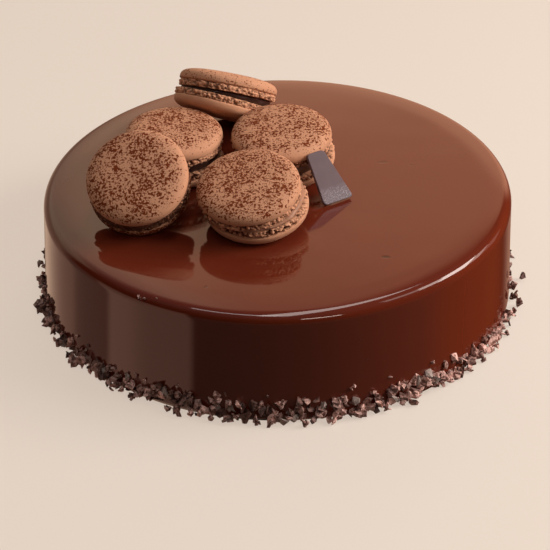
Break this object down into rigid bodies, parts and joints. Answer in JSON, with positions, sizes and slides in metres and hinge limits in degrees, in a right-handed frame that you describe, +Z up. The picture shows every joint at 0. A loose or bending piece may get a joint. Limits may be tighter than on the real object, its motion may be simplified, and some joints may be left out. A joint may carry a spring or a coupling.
{
  "type": "macaron cake",
  "caption": "Round glazed chocolate cake on its own flat base, with speckled macarons and a small plain chocolate plaque on top and a ring of cocoa nibs around its foot",
  "frame": {"origin": "middle of the flat base of the cake, on the surface it stands on", "axes": "+Z up; the front of the cake, as it is seen, faces -Y; +X is to the right of that view"},
  "size_m": [0.2101, 0.2102, 0.0836],
  "materials": {
    "glaze": "mirror-glossy dark chocolate glaze",
    "macaron_shell": "matte milk-chocolate shell with cocoa specks",
    "ganache": "soft satin chocolate ganache",
    "plaque": "matte dark chocolate dusted with silver"
  },
  "bodies": {
    "root": {"cake": "glaze", "macaron_1_top_shell": "macaron_shell", "macaron_1_ganache": "ganache", "macaron_1_bottom_shell": "macaron_shell", "macaron_2_top_shell": "macaron_shell", "macaron_2_ganache": "ganache", "macaron_2_bottom_shell": "macaron_shell", "macaron_3_top_shell": "macaron_shell", "macaron_3_ganache": "ganache", "macaron_3_bottom_shell": "macaron_shell", "macaron_4_top_shell": "macaron_shell", "macaron_4_ganache": "ganache", "macaron_4_bottom_shell": "macaron_shell", "macaron_5_top_shell": "macaron_shell", "macaron_5_ganache": "ganache", "macaron_5_bottom_shell": "macaron_shell", "plaque": "plaque"}
  },
  "joints": []
}
